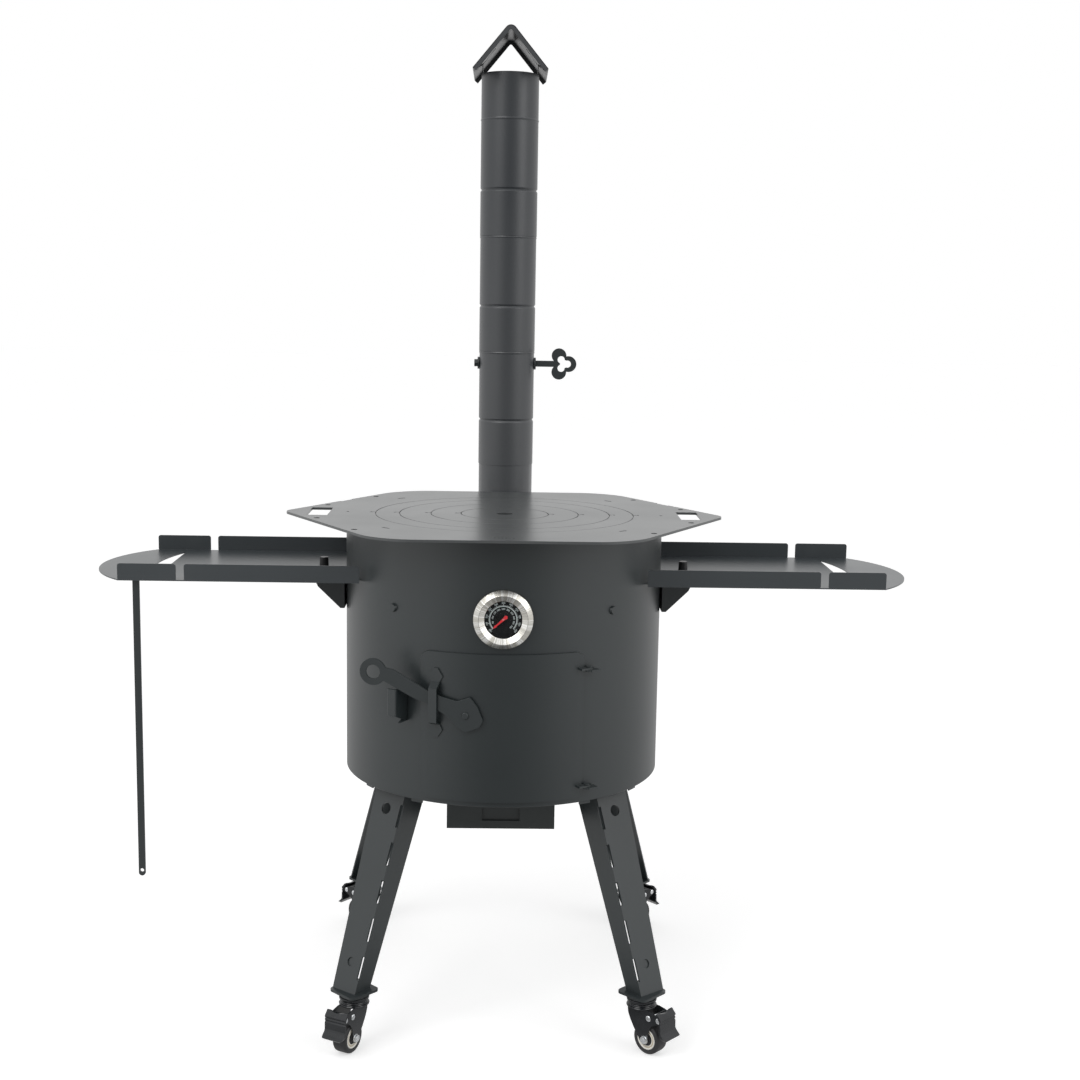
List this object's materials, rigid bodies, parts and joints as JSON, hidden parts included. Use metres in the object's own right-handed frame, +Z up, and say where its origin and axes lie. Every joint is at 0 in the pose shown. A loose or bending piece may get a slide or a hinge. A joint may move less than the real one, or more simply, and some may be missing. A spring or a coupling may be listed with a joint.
{
  "type": "cauldron stove",
  "caption": "Outdoor cauldron stove: round firebox on castor legs, hexagonal plate with lift-out rings, chimney and two side tables.",
  "frame": {"origin": "on the floor under the drum's axis", "axes": "+Z up, +X to the stove's right as seen from the front, +Y to the back, door and thermometer face -Y"},
  "size_m": [1.3118, 0.73, 1.635],
  "materials": {
    "body_paint": "satin",
    "top_steel": "satin",
    "cast_grate": "matte",
    "zinc": "satin",
    "bezel_chrome": "polished",
    "dial_black": "matte",
    "needle_red": "matte",
    "glass": "polished",
    "castor_black": "gloss",
    "wheel_black": "matte",
    "knob_black": "matte"
  },
  "bodies": {
    "stove": {"drum_shell": "body_paint", "drum_floor": "body_paint", "pot_supports": "body_paint", "flue_elbow": "body_paint", "chimney_pipe_lower": "body_paint", "chimney_pipe_middle": "body_paint", "chimney_pipe_upper": "body_paint", "cap_roof": "body_paint", "cap_straps": "body_paint", "hinge_lugs": "body_paint", "latch_catch": "body_paint", "ash_housing": "body_paint", "leg_front_right": "body_paint", "leg_front_left": "body_paint", "leg_rear_right": "body_paint", "leg_rear_left": "body_paint", "table_left": "body_paint", "table_right": "body_paint", "table_brackets": "body_paint", "shell_bolts": "body_paint", "damper_washers": "body_paint", "fire_grate": "cast_grate", "thermometer_case": "zinc", "thermometer_bezel": "bezel_chrome", "thermometer_dial": "dial_black", "thermometer_glass": "glass", "castor_heads": "castor_black", "thumb_screws": "knob_black"},
    "top_plate": {"top_plate": "top_steel"},
    "ring_large": {"ring_large": "top_steel"},
    "ring_medium": {"ring_medium": "top_steel"},
    "ring_small": {"ring_small": "top_steel"},
    "centre_disc": {"centre_disc": "top_steel"},
    "door": {"door_panel": "body_paint", "latch_guide": "body_paint", "latch_rivet": "body_paint"},
    "latch": {"latch_lever": "body_paint"},
    "ash_drawer": {"ash_drawer": "body_paint"},
    "damper": {"damper_blade": "body_paint", "damper_spindle": "body_paint", "damper_nut": "body_paint"},
    "needle": {"thermometer_needle": "needle_red"},
    "poker": {"poker": "body_paint"},
    "fork_front_right": {"castor_fork_front_right": "castor_black", "castor_axle_front_right": "zinc"},
    "wheel_front_right": {"castor_wheel_front_right": "wheel_black"},
    "pedal_front_right": {"brake_pedal_front_right": "castor_black"},
    "fork_front_left": {"castor_fork_front_left": "castor_black", "castor_axle_front_left": "zinc"},
    "wheel_front_left": {"castor_wheel_front_left": "wheel_black"},
    "pedal_front_left": {"brake_pedal_front_left": "castor_black"},
    "fork_rear_right": {"castor_fork_rear_right": "castor_black", "castor_axle_rear_right": "zinc"},
    "wheel_rear_right": {"castor_wheel_rear_right": "wheel_black"},
    "pedal_rear_right": {"brake_pedal_rear_right": "castor_black"},
    "fork_rear_left": {"castor_fork_rear_left": "castor_black", "castor_axle_rear_left": "zinc"},
    "wheel_rear_left": {"castor_wheel_rear_left": "wheel_black"},
    "pedal_rear_left": {"brake_pedal_rear_left": "castor_black"}
  },
  "joints": [
    {"name": "lift_top_plate", "type": "slide", "parent": "stove", "child": "top_plate", "axis": [0, 0, 1], "range_m": [0, 0.1]},
    {"name": "lift_ring_large", "type": "slide", "parent": "top_plate", "child": "ring_large", "axis": [0, 0, 1], "range_m": [0, 0.1]},
    {"name": "lift_ring_medium", "type": "slide", "parent": "ring_large", "child": "ring_medium", "axis": [0, 0, 1], "range_m": [0, 0.1]},
    {"name": "lift_ring_small", "type": "slide", "parent": "ring_medium", "child": "ring_small", "axis": [0, 0, 1], "range_m": [0, 0.1]},
    {"name": "lift_centre_disc", "type": "slide", "parent": "ring_small", "child": "centre_disc", "axis": [0, 0, 1], "range_m": [0, 0.1]},
    {"name": "door_hinge", "type": "hinge", "parent": "stove", "child": "door", "pos_m": [0.1309, -0.23041, 0.52], "axis": [0, 0, 1], "range_deg": [0, 110]},
    {"name": "latch_pivot", "type": "hinge", "parent": "door", "child": "latch", "pos_m": [-0.0534, -0.25139, 0.5473], "axis": [0.2078, 0.9782, 0], "range_deg": [0, 3]},
    {"name": "ash_drawer_slide", "type": "slide", "parent": "stove", "child": "ash_drawer", "axis": [0, -1, 0], "range_m": [0, 0.15]},
    {"name": "damper_turn", "type": "hinge", "parent": "stove", "child": "damper", "pos_m": [0, 0.35, 1.05], "axis": [1, 0, 0], "range_deg": [0, 90]},
    {"name": "needle_turn", "type": "hinge", "parent": "stove", "child": "needle", "pos_m": [0, -0.258, 0.695], "axis": [0, 1, 0], "range_deg": [0, 265]},
    {"name": "lift_poker", "type": "slide", "parent": "stove", "child": "poker", "axis": [0, 0, 1], "range_m": [0, 0.12]},
    {"name": "castor_swivel_front_right", "type": "hinge", "parent": "stove", "child": "fork_front_right", "pos_m": [0.22557, -0.21959, 0.077], "axis": [0, 0, 1], "continuous": true},
    {"name": "castor_roll_front_right", "type": "hinge", "parent": "fork_front_right", "child": "wheel_front_right", "pos_m": [0.2396, -0.23313, 0.025], "axis": [0.6947, 0.7193, 0], "continuous": true},
    {"name": "castor_brake_front_right", "type": "hinge", "parent": "fork_front_right", "child": "pedal_front_right", "pos_m": [0.2583, -0.25119, 0.064], "axis": [0.6947, 0.7193, 0], "range_deg": [0, 15]},
    {"name": "castor_swivel_front_left", "type": "hinge", "parent": "stove", "child": "fork_front_left", "pos_m": [-0.22557, -0.21959, 0.077], "axis": [0, 0, 1], "continuous": true},
    {"name": "castor_roll_front_left", "type": "hinge", "parent": "fork_front_left", "child": "wheel_front_left", "pos_m": [-0.23473, -0.2368, 0.025], "axis": [0.8829, -0.4695, 0], "continuous": true},
    {"name": "castor_brake_front_left", "type": "hinge", "parent": "fork_front_left", "child": "pedal_front_left", "pos_m": [-0.24693, -0.25976, 0.064], "axis": [0.8829, -0.4695, 0], "range_deg": [0, 15]},
    {"name": "castor_swivel_rear_right", "type": "hinge", "parent": "stove", "child": "fork_rear_right", "pos_m": [0.24394, 0.26189, 0.077], "axis": [0, 0, 1], "continuous": true},
    {"name": "castor_roll_rear_right", "type": "hinge", "parent": "fork_rear_right", "child": "wheel_rear_right", "pos_m": [0.25866, 0.27469, 0.025], "axis": [-0.6561, 0.7547, 0], "continuous": true},
    {"name": "castor_brake_rear_right", "type": "hinge", "parent": "fork_rear_right", "child": "pedal_rear_right", "pos_m": [0.27828, 0.29174, 0.064], "axis": [-0.6561, 0.7547, 0], "range_deg": [0, 15]},
    {"name": "castor_swivel_rear_left", "type": "hinge", "parent": "stove", "child": "fork_rear_left", "pos_m": [-0.24394, 0.26189, 0.077], "axis": [0, 0, 1], "continuous": true},
    {"name": "castor_roll_rear_left", "type": "hinge", "parent": "fork_rear_left", "child": "wheel_rear_left", "pos_m": [-0.25888, 0.27443, 0.025], "axis": [-0.6428, -0.766, 0], "continuous": true},
    {"name": "castor_brake_rear_left", "type": "hinge", "parent": "fork_rear_left", "child": "pedal_rear_left", "pos_m": [-0.27879, 0.29114, 0.064], "axis": [-0.6428, -0.766, 0], "range_deg": [0, 15]}
  ]
}
